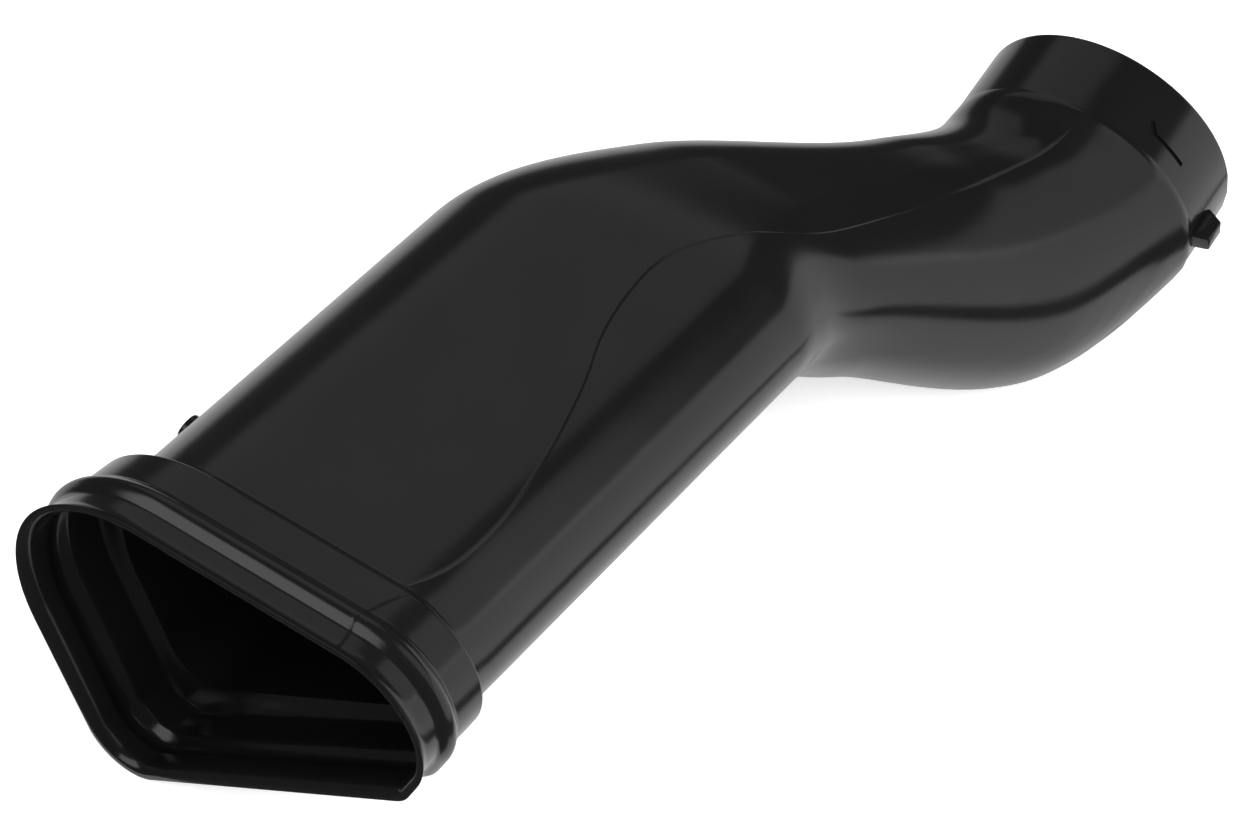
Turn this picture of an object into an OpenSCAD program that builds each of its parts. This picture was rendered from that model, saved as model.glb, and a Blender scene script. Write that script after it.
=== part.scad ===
// Air duct pipe: a blow-moulded intake duct in one piece, from a wide four-sided mouth to a round outlet.
// X runs along the straight run away from the mouth, Y to the left, and Z = 0 is the ground it lies on.
// It is drawn from the middle of the mouth's top edge, with drops measured down from that edge.
// The finished duct is then moved so that the middle of its footprint is the origin.

/* [Wall] */
// Wall thickness of the moulding
wall = 2.4; // [1.6:0.1:3]

/* [Mouth collar] */
// Width of the mouth along its flat top, between sharp corners
mouth_w = 196; // [180:1:206]
// Drop of the keel corner, the lowest corner of the mouth
keel_drop = 130; // [120:1:136]
// Distance of the keel corner to the left of the middle
keel_left = 44; // [36:1:52]
// Drop of the side corner, under the right-hand edge
side_drop = 49; // [42:1:56]
// Distance of the side corner to the right of the middle
side_right = 74; // [66:1:82]
// Radius of the far corner, at the left of the top
far_r = 53; // [44:1:56]
// Radius of the keel corner
keel_r = 15; // [10:1:18]
// Radius of the side corner
side_r = 12; // [9:1:15]
// Radius of the near corner, at the right of the top
near_r = 27; // [20:1:30]
// Length of the collar, from the mouth's rim to its rear step
collar_len = 30; // [27:1:34]
// How far the rim flares out beyond the collar
rim_flare = 1.9; // [1:0.1:2.6]
// How far back from the rim that flare reaches
flare_len = 4.5; // [3:0.5:7]
// Distance of the raised bead's front edge from the rim
bead_start = 9; // [8:0.5:11]
// Length of the bead along the duct
bead_len = 8.5; // [7:0.5:11]
// Height of the bead above the collar
bead_h = 2.8; // [2:0.1:4]
// How far the far side of the collar draws in between the rim and the step
collar_draft = 2.7; // [0:0.1:4]

/* [Straight body] */
// Step down from the collar at the far side
far_step = 10.5; // [6:0.5:12]
// How much smaller that step is where the body leaves the collar
far_taper = 3; // [0:0.5:4]
// Step down from the collar at the near side
near_step = 4; // [2:0.5:6]
// Step down from the collar on the flat top
top_step = 3; // [1.5:0.5:5]
// Rise of the keel above the collar's keel corner
keel_step = 11; // [8:0.5:14]
// Where the straight run ends, at the far side
straight_end = 169; // [160:1:174]
// How much further the straight run goes on at the near side, to the sharp inside of the bend
near_run_on = 30; // [20:1:38]
// Length over which the collar steps down to the body
step_len = 3; // [2:0.5:4]
// Rise of the side corner above the collar's side corner
side_step = 1; // [0:0.5:3]

/* [Bend] */
// Where the section at the middle of the bend stands
bend_x = 235; // [230:1:244]
// Left edge of the bend section, left of the middle
bend_left = 45; // [38:1:50]
// Right edge of the bend section, right of the middle
bend_right = 82; // [76:1:88]
// Drop of its top
bend_top = 12; // [8:1:18]
// Drop of its underside
bend_bottom = 119; // [114:1:123]
// How far its keel corner stands in from the left edge
bend_keel_in = 22; // [16:1:30]
// How far its side corner stands in from the right edge
bend_side_in = 8; // [4:1:14]
// Height of its side corner above the underside
bend_side_rise = 44; // [38:1:50]
// Radius of its far corner
bend_far_r = 45; // [38:1:50]
// Radius of its keel corner
bend_keel_r = 28; // [20:1:32]
// Radius of its side corner
bend_side_r = 27; // [20:1:32]
// Radius of its near corner
bend_near_r = 33; // [28:1:38]

/* [Bulge] */
// Where the fullest section of the bulge stands
bulge_x = 299; // [292:1:304]
// Left edge of the bulge, right of the middle
bulge_left = 22; // [16:1:27]
// Right edge of the bulge, right of the middle
bulge_right = 113; // [108:1:118]
// Drop of its top
bulge_top = 26.5; // [23:0.5:30]
// Drop of its flat underside, which is one of the two places it lies on
bulge_bottom = 125; // [120:0.5:130]
// Radius of its far top corner
bulge_far_r = 34; // [28:1:38]
// Radius of its bottom left corner
bulge_keel_r = 26; // [20:1:34]
// Radius of its bottom right corner
bulge_side_r = 40; // [34:1:45]
// Radius of its near top corner
bulge_near_r = 49; // [42:1:52]

/* [Neck] */
// Where the neck before the outlet stands
neck_x = 330; // [326:1:333]
// Left edge of the neck, right of the middle
neck_left = 37; // [34:1:41]
// Right edge of the neck, right of the middle
neck_right = 125; // [123:1:130]
// Drop of its top
neck_top = 26; // [20:1:28]
// Drop of its underside
neck_bottom = 117; // [112:1:120]
// Radius of its left-hand corners
neck_left_r = 41; // [36:1:42]
// Radius of its right-hand corners
neck_right_r = 41; // [36:1:42]

/* [Outlet collar] */
// Outer diameter of the round outlet
outlet_d = 92; // [84:1:94]
// Length of the round outlet
outlet_len = 27; // [24:1:32]
// Where the centre of the outlet's rim stands along the duct
outlet_x = 369; // [362:1:376]
// Distance of the outlet's centre to the right of the middle
outlet_right = 82; // [76:1:88]
// Drop of the outlet's centre
outlet_drop = 61; // [56:1:68]
// How far the outlet points up
outlet_pitch = 10; // [4:1:12]
// How far the outlet points to the left
outlet_yaw = 4; // [0:1:8]

/* [Locating features] */
// Length of the lug along the outlet, at its foot
lug_len = 13; // [10:0.5:13.5]
// Width of the lug round the outlet
lug_w = 6; // [4:0.5:10]
// Height of the lug above the outlet
lug_h = 5.6; // [4:0.1:8]
// Angle of the lug below the outlet's right-hand side
lug_angle = 1; // [-10:1:20]
// Distance of the middle of the lug's foot from the outlet's rim
lug_from_rim = 20; // [12:0.5:20.5]
// How far the lug's end towards the rim slopes in, from foot to top
lug_front_slope = 3; // [0.5:0.5:4]
// How far its other end slopes in
lug_back_slope = 1.5; // [0.5:0.5:4]
// Width of the index groove on the outlet
index_w = 1.5; // [1.2:0.1:2.4]
// Depth of the index groove
index_depth = 1.2; // [0.6:0.1:1.4]
// Length of the groove's stroke round the outlet
index_long = 15; // [10:1:20]
// Width of its short, slanting stroke
index_short_w = 2.6; // [1.5:0.1:3]
// Length of that stroke, towards the rim
index_short = 4; // [3:0.5:8]
// Distance of the middle of the long stroke from the outlet's rim
index_from_rim = 19; // [14:0.5:22]
// Diameter of the small stud on the far side of the body
stud_d = 9; // [7:0.5:11]
// Distance of the stud from the mouth's rim
stud_x = 65; // [46:1:80]
// How far the stud stands out of the body
stud_rise = 2.5; // [1:0.5:4]

/* [Hidden] */

// Sections: steps round a corner and along an edge, and rings along each stretch.
corner_steps = 9;
edge_steps = 5;
flare_rings = 3;
bead_rings = 8;
straight_rings = 2;
bend_rings = 25;
corner_turn = 80;
round_n = (corner_steps + edge_steps) * 4;
// The duct's end is lapped over the outlet collar, a little thicker than it.
lap = 2;
lap_extra = 0.3;
sink = 0.9;

function unit(v) = v / norm(v);
function turn_of(v) = atan2(v[1], v[0]);

function flat_unit(a, p) = unit([a[0] - p[0], a[1] - p[1]]);

// Centre of the round at corner p, between the corners a and b. A corner is [left, height, radius].
function round_centre(a, p, b) =
    let (to_a = flat_unit(a, p), to_b = flat_unit(b, p), half = acos(to_a * to_b) / 2)
    [p[0], p[1]] + unit(to_a + to_b) * p[2] / sin(half);

// That rounded corner, as rows of [point, outward normal].
function rounded_corner(a, p, b) =
    let (
        to_a = flat_unit(a, p),
        to_b = flat_unit(b, p),
        centre = round_centre(a, p, b),
        first = turn_of([to_a[1], -to_a[0]]),
        last = turn_of([-to_b[1], to_b[0]]),
        span = (last - first) % 360,
        sweep = span > 180 ? span - 360 : span < -180 ? span + 360 : span
    )
    [for (i = [0 : corner_steps])
        let (t = first + sweep * i / corner_steps, n = [cos(t), sin(t)])
        [centre + n * p[2], n]];

// A closed four-sided section with rounded corners, as rows of [point, outward normal].
function section(c) =
    let (arcs = [for (i = [0 : 3]) rounded_corner(c[(i + 3) % 4], c[i], c[(i + 1) % 4])])
    [for (i = [0 : 3], k = [0 : corner_steps + edge_steps - 1])
        let (
            here = arcs[i],
            next = arcs[(i + 1) % 4][0][0],
            t = (k - corner_steps) / edge_steps
        )
        k <= corner_steps ? here[k]
            : [here[corner_steps][0] * (1 - t) + next * t, here[corner_steps][1]]];

// Corners in the order far, keel, side, near.
function mouth_corners(draw_in) = [
    [mouth_w / 2 - draw_in, 0, far_r],
    [keel_left - draw_in, -keel_drop, keel_r],
    [-side_right, -side_drop, side_r],
    [-mouth_w / 2, 0, near_r]
];
body_start = collar_len + step_len;
function far_step_at(x) = far_step - far_taper * (straight_end - x) / (straight_end - body_start);
function body_corners(x) = [
    [mouth_w / 2 - far_step_at(x), -top_step, far_r],
    [keel_left - far_step_at(x) / 3, -keel_drop + keel_step, keel_r],
    [-side_right + near_step, -side_drop + side_step, side_r],
    [-mouth_w / 2 + near_step, -top_step, near_r]
];
bend_corners = [
    [bend_left, -bend_top, bend_far_r],
    [bend_left - bend_keel_in, -bend_bottom, bend_keel_r],
    [-bend_right + bend_side_in, -bend_bottom + bend_side_rise, bend_side_r],
    [-bend_right, -bend_top, bend_near_r]
];
bulge_corners = [
    [-bulge_left, -bulge_top, bulge_far_r],
    [-bulge_left, -bulge_bottom, bulge_keel_r],
    [-bulge_right, -bulge_bottom, bulge_side_r],
    [-bulge_right, -bulge_top, bulge_near_r]
];
neck_corners = [
    [-neck_left, -neck_top, neck_left_r],
    [-neck_left, -neck_bottom, neck_left_r],
    [-neck_right, -neck_bottom, neck_right_r],
    [-neck_right, -neck_top, neck_right_r]
];

// The outlet's own axes: along it, to its left and up.
outlet_axis = [cos(outlet_pitch) * cos(outlet_yaw), cos(outlet_pitch) * sin(outlet_yaw), sin(outlet_pitch)];
outlet_left = [-sin(outlet_yaw), cos(outlet_yaw), 0];
outlet_up = cross(outlet_axis, outlet_left);
outlet_rim = [outlet_x, -outlet_right, -outlet_drop];
outlet_start = outlet_rim - outlet_axis * outlet_len;

// A flat section that stands across the duct at x.
function flat_ring(x, rows, out = 0) =
    [for (r = rows) let (p = r[0] + r[1] * out) [x, p[0], p[1]]];

// A section across the duct that slants from x at its far edge to x + further at its near edge.
function slanted_ring(x, corners, further) =
    let (far = corners[0][0], near = corners[3][0])
    [for (r = section(corners))
        [x + further * (far - r[0][0]) / (far - near), r[0][0], r[0][1]]];

// A section turned by a share of the outlet's own turn about its middle.
function turned_ring(x, corners, share) =
    let (
        yaw = outlet_yaw * share,
        pitch = outlet_pitch * share,
        axis = [cos(pitch) * cos(yaw), cos(pitch) * sin(yaw), sin(pitch)],
        left = [-sin(yaw), cos(yaw), 0],
        up = cross(axis, left),
        mid_y = (corners[0][0] + corners[3][0]) / 2,
        mid_z = (corners[0][1] + corners[1][1]) / 2
    )
    [for (r = section(corners))
        [x, mid_y, mid_z] + left * (r[0][0] - mid_y) + up * (r[0][1] - mid_z)];

// Turn of point i of a round ring. Each quarter's corner steps span corner_turn, as in the sections.
function ring_turn(i) =
    let (
        per = corner_steps + edge_steps,
        quarter = floor(i / per),
        k = i - quarter * per,
        gone = k <= corner_steps
            ? corner_turn * k / corner_steps
            : corner_turn + (90 - corner_turn) * (k - corner_steps) / edge_steps
    )
    45 + corner_turn / 2 - 90 * quarter - gone;

// A round ring of radius r, a distance s past the start of the outlet.
function round_ring(s, r) =
    [for (i = [0 : round_n - 1])
        let (t = ring_turn(i))
        outlet_start + outlet_axis * s + outlet_left * r * cos(t) + outlet_up * r * sin(t)];

// Height of the collar's outline above its plain band, at x from the rim.
function collar_out(x) =
    x < bead_start ? rim_flare * pow(max(0, 1 - x / flare_len), 2)
        : x < bead_start + bead_len ? bead_h * sin(180 * (x - bead_start) / bead_len)
        : 0;
collar_x = concat(
    [for (i = [0 : flare_rings]) flare_len * i / flare_rings],
    [for (i = [0 : bead_rings]) bead_start + bead_len * i / bead_rings],
    [collar_len]
);
function collar_ring(x, out) =
    flat_ring(x, section(mouth_corners(collar_draft * (x / collar_len - 0.5))), out);

// Key sections of the body, each with its place along the duct.
keys = [
    [body_start, flat_ring(body_start, section(body_corners(body_start)))],
    [straight_end, slanted_ring(straight_end, body_corners(straight_end), near_run_on)],
    [bend_x, flat_ring(bend_x, section(bend_corners))],
    [bulge_x, turned_ring(bulge_x, bulge_corners, 0.5)],
    [neck_x, turned_ring(neck_x, neck_corners, 0.8)],
    [outlet_start[0] - lap, round_ring(-lap, outlet_d / 2 + lap_extra)]
];
last_key = len(keys) - 1;

// Slope of the smooth curve through point i of the key sections. The straight run has one slope.
function chord(k, i) = (keys[k + 1][1][i] - keys[k][1][i]) / (keys[k + 1][0] - keys[k][0]);
function slope(k, i) =
    k < 2 ? chord(0, i)
        : k == last_key ? chord(k - 1, i)
        : let (
            before = keys[k][0] - keys[k - 1][0],
            after = keys[k + 1][0] - keys[k][0]
        )
        (chord(k - 1, i) * after + chord(k, i) * before) / (before + after);
// Past the slanting end of the straight run each point goes on along its line, at the pace of the
// span ahead.
function run_on_slope(i) = chord(0, i) / chord(0, i)[0] * chord(1, i)[0];
function span_at(x, k = 0) = k >= last_key - 1 || x < keys[k + 1][0] ? k : span_at(x, k + 1);
function body_ring(x) =
    let (
        k = span_at(x),
        h = keys[k + 1][0] - keys[k][0],
        s = (x - keys[k][0]) / h,
        s2 = s * s,
        s3 = s2 * s
    )
    [for (i = [0 : round_n - 1])
        keys[k][1][i] * (2 * s3 - 3 * s2 + 1)
            + (k == 1 ? run_on_slope(i) : slope(k, i)) * h * (s3 - 2 * s2 + s)
            + keys[k + 1][1][i] * (3 * s2 - 2 * s3)
            + slope(k + 1, i) * h * (s3 - s2)];

body_end = keys[last_key][0];
body_x = concat(
    [for (i = [0 : straight_rings - 1]) body_start + (straight_end - body_start) * i / straight_rings],
    [for (i = [0 : bend_rings]) straight_end + (body_end - straight_end) * i / bend_rings]
);
body_rings = [for (x = body_x) body_ring(x)];
body_n = len(body_rings);

// The inner skin of the body lies one wall inside the outer one, along its true normal.
function inside(j) =
    let (
        here = body_rings[j],
        back = body_rings[max(0, j - 1)],
        ahead = body_rings[min(body_n - 1, j + 1)]
    )
    [for (i = [0 : round_n - 1])
        let (
            along = ahead[i] - back[i],
            around = here[(i + 1) % round_n] - here[(i + round_n - 1) % round_n]
        )
        here[i] - unit(cross(along, around)) * wall];

outer = concat(
    [for (x = collar_x) collar_ring(x, collar_out(x))],
    body_rings,
    [round_ring(lap, outlet_d / 2 - sink)]
);
inner = concat(
    [for (x = collar_x) collar_ring(x, collar_out(x) - wall)],
    [flat_ring(body_start, section(body_corners(body_start)), -wall)],
    [for (j = [1 : body_n - 2]) inside(j)],
    [round_ring(-lap, outlet_d / 2 - wall - lap_extra), round_ring(lap, outlet_d / 2 - wall + sink)]
);
rings_n = len(outer);

// The move that puts the lowest point on the ground and the middle of the footprint at the origin.
// The footprint ends at the mouth's rim, the outlet's rim, the far corner and the lug.
rim_reach = outlet_x + outlet_d / 2 * sqrt(1 - outlet_axis[0] * outlet_axis[0]);
lug_reach = outlet_right + lug_from_rim * outlet_axis[1]
    + (outlet_d / 2 + lug_h) * cos(lug_angle) + lug_w / 2 * abs(sin(lug_angle));
far_reach = max([for (ring = outer, p = ring) p[1]]);
top_z = -min([for (ring = outer, p = ring) p[2]]);
home = [-rim_reach / 2, (lug_reach - far_reach) / 2, top_z];

// Two triangles for each four-sided patch between rings j and j + 1, from the point list's start.
function patches(start, flip) =
    [for (j = [0 : rings_n - 2], i = [0 : round_n - 1])
        let (
            a = start + j * round_n + i,
            b = start + j * round_n + (i + 1) % round_n
        )
        each flip
            ? [[a, b, b + round_n], [a, b + round_n, a + round_n]]
            : [[a, b + round_n, b], [a, a + round_n, b + round_n]]];
function end_patches(ring_a, ring_b) =
    [for (i = [0 : round_n - 1])
        let (j = (i + 1) % round_n)
        each [[ring_a + i, ring_a + j, ring_b + j], [ring_a + i, ring_b + j, ring_b + i]]];

module skin() {
    inner_start = rings_n * round_n;
    last_ring = (rings_n - 1) * round_n;
    polyhedron(
        points = [for (ring = concat(outer, inner), p = ring) p],
        faces = concat(
            patches(0, true),
            patches(inner_start, false),
            end_patches(inner_start, 0),
            end_patches(last_ring, inner_start + last_ring)
        ),
        convexity = 8
    );
}

// Places its children on the outlet, with their Z along its axis from its start and X to its left.
module on_outlet() {
    multmatrix([
        [outlet_left[0], outlet_up[0], outlet_axis[0], outlet_start[0]],
        [outlet_left[1], outlet_up[1], outlet_axis[1], outlet_start[1]],
        [outlet_left[2], outlet_up[2], outlet_axis[2], outlet_start[2]]
    ])
    children();
}

module outlet_collar() {
    on_outlet()
    translate([0, 0, -lap])
    rotate_extrude($fn = 96)
    translate([outlet_d / 2 - wall, 0])
    square([wall, outlet_len + lap]);
}

// The locating lug: a block with sloping ends, rooted in the outlet's wall.
module lug() {
    root = outlet_d / 2 - wall / 2;
    foot = outlet_d / 2;
    top = foot + lug_h;
    front = lug_len / 2;
    on_outlet()
    rotate([0, 0, 180 + lug_angle])
    translate([0, lug_w / 2, outlet_len - lug_from_rim])
    rotate([90, 0, 0])
    linear_extrude(lug_w)
    polygon([
        [root, -front],
        [root, front],
        [foot, front],
        [top, front - lug_front_slope],
        [top, lug_back_slope - front],
        [foot, -front]
    ]);
}

// The index groove: one stroke round the outlet and a short, wider one that slants to the rim.
module index_groove() {
    bed = outlet_d / 2 - index_depth;
    cut = index_depth + 1;
    turn = index_long / (outlet_d / 2) * 180 / PI;
    slant = 46;
    start_angle = 126;
    on_outlet()
    rotate([0, 0, start_angle])
    translate([0, 0, outlet_len - index_from_rim]) {
        rotate_extrude(angle = turn, $fn = 96)
        translate([bed, -index_w / 2])
        square([cut, index_w]);
        rotate([slant, 0, 0])
        translate([bed, -index_short_w / 2, -index_w / 2])
        cube([cut, index_short_w, index_short + index_w / 2]);
    }
}

// The small round stud on the far side of the body, near the collar.
module stud() {
    above_level = 20;
    corners = body_corners(stud_x);
    centre = round_centre(corners[3], corners[0], corners[1]);
    translate([stud_x, centre[0], centre[1]])
    rotate([above_level, 0, 0])
    rotate([-90, 0, 0])
    translate([0, 0, far_r - wall / 2])
    cylinder(h = stud_rise + wall / 2, d = stud_d, $fn = 32);
}

module duct() {
    color("#1c1c1e")
    translate(home)
    difference() {
        union() {
            skin();
            outlet_collar();
            lug();
            stud();
        }
        index_groove();
    }
}

duct();
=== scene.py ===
"""The looks of the air duct pipe: one blow-moulded black plastic duct on a pale studio floor."""
import math
from functools import partial

import bmesh
import bpy
import numpy as np
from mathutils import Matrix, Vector


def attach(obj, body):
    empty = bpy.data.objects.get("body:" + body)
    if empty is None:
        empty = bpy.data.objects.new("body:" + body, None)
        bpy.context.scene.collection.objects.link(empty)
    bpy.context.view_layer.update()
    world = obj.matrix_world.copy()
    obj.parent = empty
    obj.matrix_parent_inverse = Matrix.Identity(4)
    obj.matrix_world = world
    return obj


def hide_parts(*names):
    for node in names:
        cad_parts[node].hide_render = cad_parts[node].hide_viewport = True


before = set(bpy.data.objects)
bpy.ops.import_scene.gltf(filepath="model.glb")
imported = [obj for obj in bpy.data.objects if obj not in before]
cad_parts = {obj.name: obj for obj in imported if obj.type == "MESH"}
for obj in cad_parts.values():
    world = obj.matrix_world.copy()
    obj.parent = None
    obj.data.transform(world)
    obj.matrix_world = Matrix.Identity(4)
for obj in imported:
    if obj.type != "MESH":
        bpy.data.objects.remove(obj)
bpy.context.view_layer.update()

# Sizes in millimetres and degrees, the same as in the part's source. The duct is drawn with the middle
# of its mouth's top edge at the origin, and HOME moves it onto the ground.
WALL = 2.4
MOUTH_W, KEEL_DROP, KEEL_LEFT, SIDE_DROP, SIDE_RIGHT = 196, 130, 44, 49, 74
FAR_R, KEEL_R, SIDE_R, NEAR_R = 53, 15, 12, 27
COLLAR_LEN, COLLAR_DRAFT = 30, 2.7
RIM_FLARE, FLARE_LEN = 1.9, 4.5
BEAD_START, BEAD_LEN, BEAD_H = 9, 8.5, 2.8
FAR_STEP, FAR_TAPER, NEAR_STEP, TOP_STEP, KEEL_STEP = 10.5, 3, 4, 3, 11
STEP_LEN, SIDE_STEP = 3, 1
STRAIGHT_END, NEAR_RUN_ON = 169, 30
BEND_X, BULGE_X, NECK_X = 235, 299, 330
BULGE_TURN, NECK_TURN = 0.5, 0.8
OUTLET_D, OUTLET_LEN, OUTLET_PITCH, OUTLET_YAW = 92, 27, 10, 4
OUTLET_RIM = np.array([369.0, -82.0, -61.0])
LAP, LAP_EXTRA = 2, 0.3
LUG_LEN, LUG_W, LUG_H, LUG_ANGLE, LUG_FROM_RIM = 13, 6, 5.6, 1, 20
LUG_FRONT_SLOPE, LUG_BACK_SLOPE = 3, 1.5
INDEX_W, INDEX_DEPTH, INDEX_LONG, INDEX_FROM_RIM = 1.5, 1.2, 15, 19
INDEX_SHORT_W, INDEX_SHORT, INDEX_ANGLE, INDEX_SLANT = 2.6, 4, 126, 46
STUD_D, STUD_X, STUD_RISE, STUD_LEVEL = 9, 65, 2.5, 20
HOME = np.array([-188.795, 30.1124, 124.977])
BODY_START = COLLAR_LEN + STEP_LEN
BEAD_END = BEAD_START + BEAD_LEN
OUTLET_R = OUTLET_D / 2

# Sizes that only the moulding's finish has: the rounding of its lip, outlet end, lug and stud.
LIP_R, END_R, LUG_EDGE, STUD_EDGE = 0.35, 0.8, 0.7, 0.9
# Points of a quarter round of radius 1, as (short of its end, in from its side).
QUARTER_ROUND = [(1 - math.sin(a), 1 - math.cos(a)) for a in np.radians([0, 30, 60, 90])]

# A quarter of a ring is a rounded corner up to this share of it, then an edge. On a round ring the
# corner is this many degrees.
CORNER_SHARE = 9 / 14
CORNER_TURN = 80


def unit(v):
    return v / np.linalg.norm(v)


def towards(a):
    """Unit vectors at the angles a."""
    return np.stack([np.cos(a), np.sin(a)], -1)


def axes_of(pitch, yaw):
    """The directions along, to the left and up of a tube that points up by pitch and left by yaw."""
    p, y = math.radians(pitch), math.radians(yaw)
    along = np.array([math.cos(p) * math.cos(y), math.cos(p) * math.sin(y), math.sin(p)])
    left = np.array([-math.sin(y), math.cos(y), 0])
    return along, left, np.cross(along, left)


AXIS, LEFT, UP = axes_of(OUTLET_PITCH, OUTLET_YAW)
OUTLET_START = OUTLET_RIM - AXIS * OUTLET_LEN


# Sections as corners in the order far, keel, side, near. A corner is (left, height, radius).
def mouth_corners(draw_in):
    return [(MOUTH_W / 2 - draw_in, 0, FAR_R), (KEEL_LEFT - draw_in, -KEEL_DROP, KEEL_R),
            (-SIDE_RIGHT, -SIDE_DROP, SIDE_R), (-MOUTH_W / 2, 0, NEAR_R)]


def body_corners(x):
    step = FAR_STEP - FAR_TAPER * (STRAIGHT_END - x) / (STRAIGHT_END - BODY_START)
    return [(MOUTH_W / 2 - step, -TOP_STEP, FAR_R),
            (KEEL_LEFT - step / 3, -KEEL_DROP + KEEL_STEP, KEEL_R),
            (-SIDE_RIGHT + NEAR_STEP, -SIDE_DROP + SIDE_STEP, SIDE_R),
            (-MOUTH_W / 2 + NEAR_STEP, -TOP_STEP, NEAR_R)]


def four_sided(left, right, top, bottom, radii, keel_in=0, side_in=0, side_rise=0):
    """A section between four sides, with its two lower corners moved in and its side corner raised."""
    return [(left, top, radii[0]), (left - keel_in, bottom, radii[1]),
            (right + side_in, bottom + side_rise, radii[2]), (right, top, radii[3])]


BEND = four_sided(45, -82, -12, -119, (45, 28, 27, 33), keel_in=22, side_in=8, side_rise=44)
BULGE = four_sided(-22, -113, -26.5, -125, (34, 26, 40, 49))
NECK = four_sided(-37, -125, -26, -117, (41, 41, 41, 41))


def quarter_share(q):
    """The quarter of its ring that each place is in, and its share of the way through it."""
    q = np.mod(q, 4)
    quarter = np.minimum(q.astype(int), 3)
    return quarter, q - quarter


def rounded_corner(corners, i):
    """Centre of the arc at corner i of a section, and the directions to the corners beside it."""
    here, before, after = (np.array(corners[j % 4][:2], float) for j in (i, i - 1, i + 1))
    to_a, to_b = unit(before - here), unit(after - here)
    centre = here + unit(to_a + to_b) * corners[i][2] / math.sin(math.acos(to_a @ to_b) / 2)
    return centre, to_a, to_b


def section(corners, q):
    """Points and outward normals of a rounded four-sided section at the ring places q, from 0 to 4."""
    quarter, t = quarter_share(q)
    arcs = []
    for i in range(4):
        centre, to_a, to_b = rounded_corner(corners, i)
        first = math.atan2(-to_a[0], to_a[1])
        last = math.atan2(to_b[0], -to_b[1])
        arcs.append((centre, corners[i][2], first, (last - first + math.pi) % (2 * math.pi) - math.pi))
    pts, nrm = np.empty((len(q), 2)), np.empty((len(q), 2))
    for i, (centre, r, first, sweep) in enumerate(arcs):
        on_arc = (quarter == i) & (t <= CORNER_SHARE)
        n = towards(first + sweep * t[on_arc] / CORNER_SHARE)
        pts[on_arc], nrm[on_arc] = centre + n * r, n
        on_edge = (quarter == i) & (t > CORNER_SHARE)
        n = towards(first + sweep)
        next_centre, next_r, next_first, _ = arcs[(i + 1) % 4]
        start, end = centre + n * r, next_centre + towards(next_first) * next_r
        s = ((t[on_edge] - CORNER_SHARE) / (1 - CORNER_SHARE))[:, None]
        pts[on_edge], nrm[on_edge] = start * (1 - s) + end * s, n
    return pts, nrm


def flat_ring(x, corners, q, out=0.0):
    p, n = section(corners, q)
    return np.column_stack([np.full(len(q), float(x)), p + n * out])


def slanted_ring(x, corners, further, q):
    """A section that slants from x at its far edge to x + further at its near edge."""
    far, near = corners[0][0], corners[3][0]
    p, _ = section(corners, q)
    return np.column_stack([x + further * (far - p[:, 0]) / (far - near), p])


def turned_ring(x, corners, share, q):
    """A section turned by a share of the outlet's own turn about its middle."""
    _, left, up = axes_of(OUTLET_PITCH * share, OUTLET_YAW * share)
    mid_y, mid_z = (corners[0][0] + corners[3][0]) / 2, (corners[0][1] + corners[1][1]) / 2
    p, _ = section(corners, q)
    return np.array([x, mid_y, mid_z]) + (p[:, :1] - mid_y) * left + (p[:, 1:] - mid_z) * up


def round_ring(s, r, q):
    """A round ring of radius r, a distance s past the start of the outlet."""
    quarter, t = quarter_share(q)
    gone = np.where(t <= CORNER_SHARE, CORNER_TURN * t / CORNER_SHARE,
                    CORNER_TURN + (90 - CORNER_TURN) * (t - CORNER_SHARE) / (1 - CORNER_SHARE))
    a = np.radians(45 + CORNER_TURN / 2 - 90 * quarter - gone)[:, None]
    return OUTLET_START + AXIS * s + r * (LEFT * np.cos(a) + UP * np.sin(a))


# The key sections: where each stands along the duct, and its ring at the places q.
KEYS = [(BODY_START, partial(flat_ring, BODY_START, body_corners(BODY_START))),
        (STRAIGHT_END, partial(slanted_ring, STRAIGHT_END, body_corners(STRAIGHT_END), NEAR_RUN_ON)),
        (BEND_X, partial(flat_ring, BEND_X, BEND)),
        (BULGE_X, partial(turned_ring, BULGE_X, BULGE, BULGE_TURN)),
        (NECK_X, partial(turned_ring, NECK_X, NECK, NECK_TURN)),
        (OUTLET_START[0] - LAP, partial(round_ring, -LAP, OUTLET_R + LAP_EXTRA))]
KEY_X = [x for x, _ in KEYS]
LAST_KEY = len(KEYS) - 1


def hermite(a, slope_a, b, slope_b, h, t):
    """The cubic from a to b over a length h, with these slopes at its ends, at the share t of it."""
    return (a * (2 * t**3 - 3 * t**2 + 1) + slope_a * h * (t**3 - 2 * t**2 + t)
            + b * (3 * t**2 - 2 * t**3) + slope_b * h * (t**3 - t**2))


def body_ring(x, q):
    """The smooth curve through the key sections, as in the part's source."""
    k = max(0, min(LAST_KEY - 1, sum(x >= v for v in KEY_X) - 1))
    rings = [ring(q) for _, ring in KEYS]

    def chord(i):
        return (rings[i + 1] - rings[i]) / (KEY_X[i + 1] - KEY_X[i])

    def slope(i):
        """Slope of the curve through key section i. The straight run has one slope."""
        if i < 2:
            return chord(0)
        if i == LAST_KEY:
            return chord(i - 1)
        before, after = KEY_X[i] - KEY_X[i - 1], KEY_X[i + 1] - KEY_X[i]
        return (chord(i - 1) * after + chord(i) * before) / (before + after)

    # Past the slanting end of the straight run each point goes on along its line, at the pace of the
    # span ahead.
    start_slope = chord(0) / chord(0)[:, :1] * chord(1)[:, :1] if k == 1 else slope(k)
    h = KEY_X[k + 1] - KEY_X[k]
    return hermite(rings[k], start_slope, rings[k + 1], slope(k + 1), h, (x - KEY_X[k]) / h)


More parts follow.
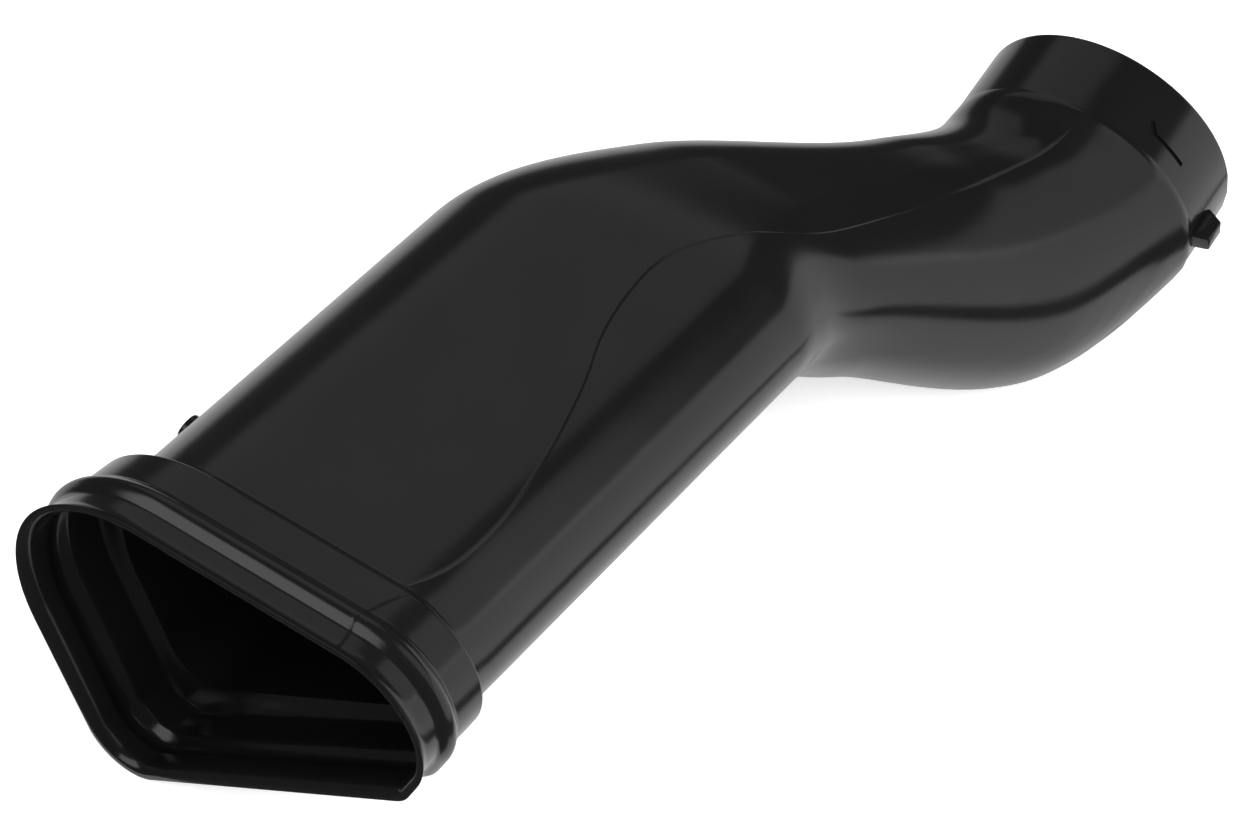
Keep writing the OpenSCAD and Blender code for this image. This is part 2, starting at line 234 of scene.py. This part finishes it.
# Places round a section: q runs from 0 to 4 as above, s from 0 to 1 with its length, and m from 0 to 1
# half with its length and half with its turning, so that even steps of m bunch at the corners.
Q_STEPS = np.linspace(0, 4, 4001)


def running_shares():
    """The s and the m of each of Q_STEPS."""
    p, n = section(body_corners(BODY_START), Q_STEPS)
    steps = np.linalg.norm(np.diff(p, axis=0), axis=1)
    turns = np.arccos(np.clip(np.sum(n[1:] * n[:-1], axis=1), -1, 1))
    length, turning = (np.concatenate([[0], np.cumsum(v)]) / np.sum(v) for v in (steps, turns))
    return length, (length + turning) / 2


S_STEPS, M_STEPS = running_shares()


def q_of_s(s):
    return np.interp(np.mod(s, 1), S_STEPS, Q_STEPS)


def s_of_q(q):
    return np.interp(q, Q_STEPS, S_STEPS)


def m_of_s(s):
    return np.interp(np.mod(s, 1), S_STEPS, M_STEPS) + np.floor(s)


def s_of_m(m):
    return np.interp(np.mod(m, 1), M_STEPS, S_STEPS) + np.floor(m)


def smooth_curve(points):
    """A smooth curve through given points, as a function."""
    xs, ys = np.array(points, float).T
    slopes = np.gradient(ys, xs)

    def at(x):
        x = np.clip(x, xs[0], xs[-1])
        k = np.clip(np.searchsorted(xs, x, side="right") - 1, 0, len(xs) - 2)
        h = xs[k + 1] - xs[k]
        return hermite(ys[k], slopes[k], ys[k + 1], slopes[k + 1], h, (x - xs[k]) / h)
    return at


# The mould's parting line: its place round the duct (q) at each distance from the rim (x).
SEAM = [(0, 3.65), (18, 3.66), (28, 3.64), (42, 3.56), (59, 3.54), (85, 3.59), (113, 3.67), (131, 3.72),
        (147, 3.745), (163, 3.75), (177, 3.72), (194, 3.67), (210, 3.57), (228, 3.48), (264, 3.47),
        (285, 3.505), (303, 3.53), (332, 3.61), (345, 3.63), (375, 3.63)]
near_seam = smooth_curve([(x, s_of_q(q)) for x, q in SEAM])
# On the hidden side it runs along the keel corner.
KEEL_SEAM = s_of_q(1.25)
# Its height, its half width as a share of the ring, and where it has faded out before the outlet.
SEAM_H, SEAM_HALF = 0.25, 0.0008
SEAM_END, SEAM_FADE = 342, 16

# Columns of points from one run of the parting line to the other, close together beside both.
HALF_COLUMNS = 92
SEAM_COLUMNS = np.array([0, 0.0006, 0.0012, 0.0020, 0.0032, 0.0055])


def columns(x):
    """Places round the ring at x, and how far each is from the nearer run of the parting line."""
    near = float(near_seam(x))
    clear, even = SEAM_COLUMNS[-1], HALF_COLUMNS - 2 * len(SEAM_COLUMNS)
    places, gaps = [], []
    for start, end in ((near, KEEL_SEAM + 1), (KEEL_SEAM, near)):
        m = np.linspace(m_of_s(start + clear), m_of_s(end - clear), even + 2)[1:-1]
        past = np.concatenate([SEAM_COLUMNS, s_of_m(m) - start, end - start - SEAM_COLUMNS[:0:-1]])
        places.append(start + past)
        gaps.append(np.minimum(past, end - start - past))
    return q_of_s(np.concatenate(places)), np.concatenate(gaps)


def places_at(x):
    return columns(x)[0]


# The moulded bead's crest is a little lower than the source's, which leaves room for the parting line.
BEAD_CREST = 0.94
# Weights of the outline's heights at a few distances round a point, which soften its steps.
SOFTEN = ((-0.6, 1), (-0.3, 2), (0, 3), (0.3, 2), (0.6, 1))


def sharp_outline(x):
    if x < BEAD_START:
        return RIM_FLARE * max(0.0, 1 - x / FLARE_LEN) ** 2
    if x < BEAD_END:
        return BEAD_CREST * BEAD_H * math.sin(math.pi * (x - BEAD_START) / BEAD_LEN)
    return 0.0


def collar_out(x):
    """Height of the collar's outline above its plain band, softened as a moulding is."""
    if x < 2 * SOFTEN[-1][0]:
        return sharp_outline(x)
    return sum(sharp_outline(x + d) * w for d, w in SOFTEN) / sum(w for _, w in SOFTEN)


def ease(t):
    t = min(max(t, 0.0), 1.0)
    return t * t * (3 - 2 * t)


# How far before the collar's end its step down to the body starts.
STEP_LEAD = 0.9


def collar_ring(x, out, q):
    """A ring of the mouth collar, which runs softly over into the body's first section."""
    w = ease((x - COLLAR_LEN + STEP_LEAD) / (STEP_LEN + STEP_LEAD))
    collar = flat_ring(x, mouth_corners(COLLAR_DRAFT * (x / COLLAR_LEN - 0.5)), q, collar_out(x) + out)
    return (1 - w) * collar + w * flat_ring(x, body_corners(BODY_START), q, out)


# Where the rings of the rounded lip stand, turned from the rim's face towards its side.
LIP_TURNS = np.radians([0, 30, 60])


def lip_ring(turn, out, side, q):
    """A ring of the lip's rounding towards the outline at out, on its outer (1) or inner (-1) side."""
    at = LIP_R * (1 - math.cos(turn))
    return flat_ring(at, mouth_corners(-COLLAR_DRAFT / 2), q, out - side * LIP_R * (1 - math.sin(turn)))


def normals_of(rings):
    """The outward normals of a stack of rings."""
    n = np.cross(np.gradient(rings, axis=0), np.roll(rings, -1, 1) - np.roll(rings, 1, 1))
    return n / np.linalg.norm(n, axis=2, keepdims=True)


def steps_over(*spans):
    """Even steps over spans of (first, end, step)."""
    return np.concatenate([np.arange(*span) for span in spans])


# Distances of the rings from the rim, closer together at the bead, the step and past the straight run.
COLLAR_X = steps_over((LIP_R, BEAD_START - 0.6, 0.7), (BEAD_START - 0.6, BEAD_END + 1.1, 0.32),
                      (BEAD_END + 1.5, COLLAR_LEN - 1.6, 0.9), (COLLAR_LEN - 1.4, BODY_START, 0.3))
BODY_X = steps_over((BODY_START + 0.6, STRAIGHT_END, 5), (STRAIGHT_END, KEY_X[-1] - 1, 2))
# The faint step where the outlet starts, as (place, height above the collar).
OUTLET_STEP = [(-LAP, LAP_EXTRA), (-1.2, 0.24), (-0.6, 0.2), (-0.2, 0.15), (0.3, 0), (0.8, 0), (1.6, 0)]
# Rows of the outlet's collar and of its bore, as (place, radius), both rounded at the open end.
OUTLET_ROWS = ([(s, OUTLET_R + h) for s, h in OUTLET_STEP]
               + [(s, OUTLET_R) for s in np.arange(4, OUTLET_LEN - END_R, 2.4)]
               + [(OUTLET_LEN - END_R * a, OUTLET_R - END_R * b) for a, b in QUARTER_ROUND])
BORE_ROWS = ([(s, OUTLET_R - WALL) for s in (0, 2, 6, 12, 18, 24, OUTLET_LEN - END_R)]
             + [(OUTLET_LEN, OUTLET_R - WALL + END_R / 2)])


def outer_skin():
    """The outer skin's rings with the parting line raised on them."""
    rows = [(0, partial(lip_ring, turn, RIM_FLARE, 1)) for turn in LIP_TURNS]
    rows += [(x, partial(collar_ring, x, 0)) for x in COLLAR_X]
    rows += [(x, partial(body_ring, x)) for x in BODY_X]
    rows += [(OUTLET_START[0] + s, partial(round_ring, s, r)) for s, r in OUTLET_ROWS]
    rings, ridge = [], []
    for x, ring in rows:
        q, gap = columns(x)
        rings.append(ring(q))
        # Over the bead's crest the line is half as high.
        on_bead = collar_out(x) / BEAD_H if BEAD_START < x < COLLAR_LEN else 0
        height = SEAM_H * (1 - 0.5 * on_bead) * ease((SEAM_END - x) / SEAM_FADE)
        ridge.append(height * np.exp(-(gap / SEAM_HALF) ** 2))
    rings, ridge = np.array(rings), np.array(ridge)
    ridge[:len(LIP_TURNS)] = 0
    return rings + normals_of(rings) * ridge[..., None]


def inner_skin():
    """The inner skin's rings, one wall inside the outer one."""
    rings = [lip_ring(turn, RIM_FLARE - WALL, -1, places_at(0)) for turn in LIP_TURNS]
    rings += [collar_ring(x, -WALL, places_at(x)) for x in COLLAR_X[::2]]
    body = np.array([body_ring(x, places_at(x)) for x in BODY_X[::2]])
    rings += list((body - normals_of(body) * WALL)[1:])
    rings += [round_ring(s, r, places_at(OUTLET_START[0] + s)) for s, r in BORE_ROWS]
    return np.array(rings)


def to_world(p):
    return (np.asarray(p) + HOME) / 1000


def new_object(name, data):
    obj = bpy.data.objects.new(name, data)
    bpy.context.collection.objects.link(obj)
    return obj


def finished_mesh(name, bm):
    bmesh.ops.recalc_face_normals(bm, faces=bm.faces)
    mesh = bpy.data.meshes.new(name)
    bm.to_mesh(mesh)
    bm.free()
    return mesh


def loft(name, rings, closed):
    """A closed solid through rings of points. Where closed, the last ring joins the first."""
    bm = bmesh.new()
    rows = [[bm.verts.new(p) for p in ring] for ring in rings]
    n = len(rows[0])
    for a, b in zip(rows, rows[1:] + rows[:1] if closed else rows[1:]):
        for i in range(n):
            j = (i + 1) % n
            bm.faces.new((a[i], a[j], b[j], b[i]))
    if not closed:
        bm.faces.new(rows[0][::-1])
        bm.faces.new(rows[-1])
    return new_object(name, finished_mesh(name, bm))


def on_outlet(p):
    """From the outlet's own frame (left, up, along from its start), in millimetres, to the world."""
    p = np.asarray(p, float)
    return to_world(OUTLET_START + p[..., :1] * LEFT + p[..., 1:2] * UP + p[..., 2:3] * AXIS)


def turned(p, degrees):
    """A point of the outlet's frame turned about its axis."""
    a = math.radians(degrees)
    x, y, z = p
    return np.array([x * math.cos(a) - y * math.sin(a), x * math.sin(a) + y * math.cos(a), z])


def make_lug():
    """The locating lug: a block with sloping ends and rounded edges."""
    root, top, front = OUTLET_R - WALL / 2, OUTLET_R + LUG_H, LUG_LEN / 2
    outline = [(root, -front), (root, front), (OUTLET_R, front), (top, front - LUG_FRONT_SLOPE),
               (top, LUG_BACK_SLOPE - front), (OUTLET_R, -front)]
    bm = bmesh.new()
    sides = [[bm.verts.new((r, y, z + OUTLET_LEN - LUG_FROM_RIM)) for r, z in outline]
             for y in (-LUG_W / 2, LUG_W / 2)]
    bm.faces.new(sides[0][::-1])
    bm.faces.new(sides[1])
    for i in range(len(outline)):
        j = (i + 1) % len(outline)
        bm.faces.new((sides[0][i], sides[0][j], sides[1][j], sides[1][i]))
    bmesh.ops.recalc_face_normals(bm, faces=bm.faces)
    bmesh.ops.bevel(bm, geom=bm.edges[:], offset=LUG_EDGE, segments=3, profile=0.5, affect="EDGES",
                    clamp_overlap=True)
    for v in bm.verts:
        v.co = Vector(on_outlet(turned(v.co, 180 + LUG_ANGLE)))
    return new_object("lug", finished_mesh("lug", bm))


# How far the index cutters stand out of the outlet, and the steps of the one that goes round it.
CUT_OUT = 1
INDEX_STEPS = 12


def make_index():
    """Cutters for the index groove: one stroke round the outlet and a short one that slants to the rim."""
    half, side = INDEX_W / 2, INDEX_SHORT_W / 2
    along = OUTLET_LEN - INDEX_FROM_RIM
    turn = math.degrees(INDEX_LONG / OUTLET_R)
    slant = math.radians(INDEX_SLANT)

    def outline(w):
        bed, top = OUTLET_R - INDEX_DEPTH, OUTLET_R + CUT_OUT
        return (bed, -w), (top, -w), (top, w), (bed, w)

    def slanted(r, y, z):
        y, z = y * math.cos(slant) - z * math.sin(slant), y * math.sin(slant) + z * math.cos(slant)
        return on_outlet(turned((r, y, along + z), INDEX_ANGLE))

    long_rings = [[on_outlet(turned((r, 0, along + z), INDEX_ANGLE + turn * i / INDEX_STEPS))
                   for r, z in outline(half)] for i in range(INDEX_STEPS + 1)]
    short_rings = [[slanted(r, y, z) for r, y in outline(side)] for z in (-half, INDEX_SHORT)]
    return loft("index_long", long_rings, False), loft("index_short", short_rings, False)


STUD_SIDES = 48


def make_stud():
    """The small round stud on the far side, with a rounded edge."""
    centre, _, _ = rounded_corner(body_corners(STUD_X), 0)
    level = math.radians(STUD_LEVEL)
    out, side = np.array([0, math.cos(level), math.sin(level)]), np.array([1.0, 0, 0])
    up = np.cross(side, out)
    foot = np.array([STUD_X, *centre]) + out * FAR_R
    turns = np.linspace(0, 2 * math.pi, STUD_SIDES + 1)[:-1]

    def ring(r, rise):
        return [to_world(foot + out * rise + r * (side * math.cos(t) + up * math.sin(t))) for t in turns]

    rings = [ring(STUD_D / 2, -WALL / 2)]
    rings += [ring(STUD_D / 2 - STUD_EDGE * b, STUD_RISE - STUD_EDGE * a) for a, b in QUARTER_ROUND]
    return loft("stud", rings, False)


def carve(obj, other, operation):
    """Joins another closed object to this one, or cuts it out, and deletes the other."""
    mod = obj.modifiers.new("carve", "BOOLEAN")
    mod.operation, mod.solver, mod.object = operation, "EXACT", other
    mesh = bpy.data.meshes.new_from_object(obj.evaluated_get(bpy.context.evaluated_depsgraph_get()))
    obj.modifiers.remove(mod)
    obj.data = mesh
    bpy.data.objects.remove(other)


# Edges that turn by more degrees than this stay sharp.
SHARP_EDGE = 38

duct = loft("duct_body", [to_world(ring) for ring in (*outer_skin(), *inner_skin()[::-1])], True)
for piece in (make_lug(), make_stud()):
    carve(duct, piece, "UNION")
for cutter in make_index():
    carve(duct, cutter, "DIFFERENCE")
duct.data.shade_smooth()
duct.data.set_sharp_from_angle(angle=math.radians(SHARP_EDGE))
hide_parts("duct")
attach(duct, "root")

# The plastic's two shades, as linear colours, and its range of roughness.
DARK, LIGHT = (0.0030, 0.0030, 0.0033, 1), (0.0050, 0.0050, 0.0054, 1)
SMOOTH, ROUGH = 0.14, 0.19
PLASTIC_IOR = 1.49


def black_plastic():
    """Satin black moulded plastic: a fine grain, faint waves and a slightly uneven sheen."""
    mat = bpy.data.materials.new("black_plastic")
    mat.use_nodes = True
    tree = mat.node_tree
    tree.nodes.clear()

    def node(kind, values=(), **links):
        """A node with these (socket, value) pairs set and these outputs linked into it."""
        n = tree.nodes.new(kind)
        for socket, value in values:
            n.inputs[socket].default_value = value
        for socket, output in links.items():
            tree.links.new(output, n.inputs[socket])
        return n

    coord = node("ShaderNodeTexCoord").outputs["Object"]

    def noise(scale, detail):
        n = node("ShaderNodeTexNoise", [("Scale", scale), ("Detail", detail)], Vector=coord)
        return n.outputs["Fac"]

    def bump(height, strength, depth, **links):
        n = node("ShaderNodeBump", [("Strength", strength), ("Distance", depth)], Height=height, **links)
        return n.outputs[0]

    patches = node("ShaderNodeMapRange", [("From Min", 0.3), ("From Max", 0.7), ("To Min", SMOOTH),
                                          ("To Max", ROUGH)], Value=noise(28, 4))
    tint = node("ShaderNodeMixRGB", [("Color1", DARK), ("Color2", LIGHT)], Fac=noise(40, 5))
    grain = bump(noise(2600, 3), 0.10, 0.0002)
    waves = bump(noise(22, 2), 0.35, 0.0006, Normal=grain)
    shader = node("ShaderNodeBsdfPrincipled", [("IOR", PLASTIC_IOR)], Roughness=patches.outputs[0],
                  Normal=waves)
    tree.links.new(tint.outputs[0], shader.inputs["Base Color"])
    node("ShaderNodeOutputMaterial", Surface=shader.outputs[0])
    return mat


duct.data.materials.clear()
duct.data.materials.append(black_plastic())


def pale_sheet(name, low, high, brightness, glow):
    """A flat pale sheet of the stage, between two corners in metres."""
    (x0, y0), (x1, y1) = low, high
    bm = bmesh.new()
    bm.faces.new([bm.verts.new((x, y, 0)) for x, y in ((x0, y0), (x1, y0), (x1, y1), (x0, y1))])
    sheet = new_object(name, finished_mesh(name, bm))
    mat = bpy.data.materials.new(name)
    mat.use_nodes = True
    shader = mat.node_tree.nodes["Principled BSDF"]
    shader.inputs["Base Color"].default_value = (brightness, brightness, brightness, 1)
    shader.inputs["Roughness"].default_value = 0.8
    shader.inputs["Specular IOR Level"].default_value = 0.1
    shader.inputs["Emission Color"].default_value = (1, 1, 1, 1)
    shader.inputs["Emission Strength"].default_value = glow
    sheet.data.materials.append(mat)
    return sheet


# The pale floor, and the board that the duct's gloss mirrors in its place. The board ends close to the
# near side, which draws the dark line along the near corner and the bulge, and just before the mouth,
# which leaves the inside of the mouth dark.
floor = pale_sheet("floor", (-7, -7), (7, 7), 0.86, 0.55)
floor.visible_glossy = False
floor.visible_shadow = False
board = pale_sheet("board", (-0.195, -0.14), (0.8, 0.7), 0.45, 0)
board.visible_camera = False
board.visible_diffuse = False
board.visible_shadow = False

# The camera, as in the photograph: what it looks at, the direction back to it, and its distance.
TARGET = Vector(to_world((166.295, -29.2816, -61.139)))
BACK = Vector((-0.5471, -0.4093, 0.7302))
DISTANCE = 1.2029
cam_data = bpy.data.cameras.new("camera")
cam_data.sensor_width, cam_data.lens = 36, 110
cam_data.clip_start, cam_data.clip_end = 0.05, 50
cam = new_object("camera", cam_data)
cam.location = TARGET + BACK.normalized() * DISTANCE
cam.rotation_euler = (-BACK).to_track_quat("-Z", "Y").to_euler()
bpy.context.scene.camera = cam


def area_light(name, direction, distance, size, radiance, aim=(0, 0, 0.05)):
    """A soft light that faces the duct: its place from aim, its width and height, and its brightness."""
    data = bpy.data.lights.new(name, "AREA")
    data.shape = "RECTANGLE"
    data.size, data.size_y = size
    data.energy = radiance * math.pi * size[0] * size[1]
    obj = new_object(name, data)
    d = Vector(direction).normalized()
    obj.location = Vector(aim) + d * distance
    obj.rotation_euler = d.to_track_quat("Z", "Y").to_euler()
    obj.visible_camera = False
    return obj


# The top light lights only the floor and the duct's own colour. The others are what the gloss mirrors.
top = area_light("top", (-0.30, -0.42, 0.86), 0.95, (0.9, 0.9), 8.0)
top.visible_glossy = False
area_light("right", (0.60, -0.80, 0), 0.8, (2.2, 0.74), 0.95, aim=(0, 0, 0))
area_light("left", (-0.75, 0.45, 0.62), 1.1, (0.9, 0.6), 1.7)
area_light("side", (0.05, -0.70, 0.71), 0.9, (0.9, 0.95), 0.55)
area_light("back", (0.50, 0.55, 0.75), 1.2, (1.0, 0.9), 0.30)
world = bpy.data.worlds.new("world")
world.use_nodes = True
background = world.node_tree.nodes["Background"]
background.inputs["Color"].default_value = (1, 1, 1, 1)
background.inputs["Strength"].default_value = 0.07
bpy.context.scene.world = world
bpy.context.scene.view_settings.view_transform = "Standard"

bpy.context.view_layer.update()
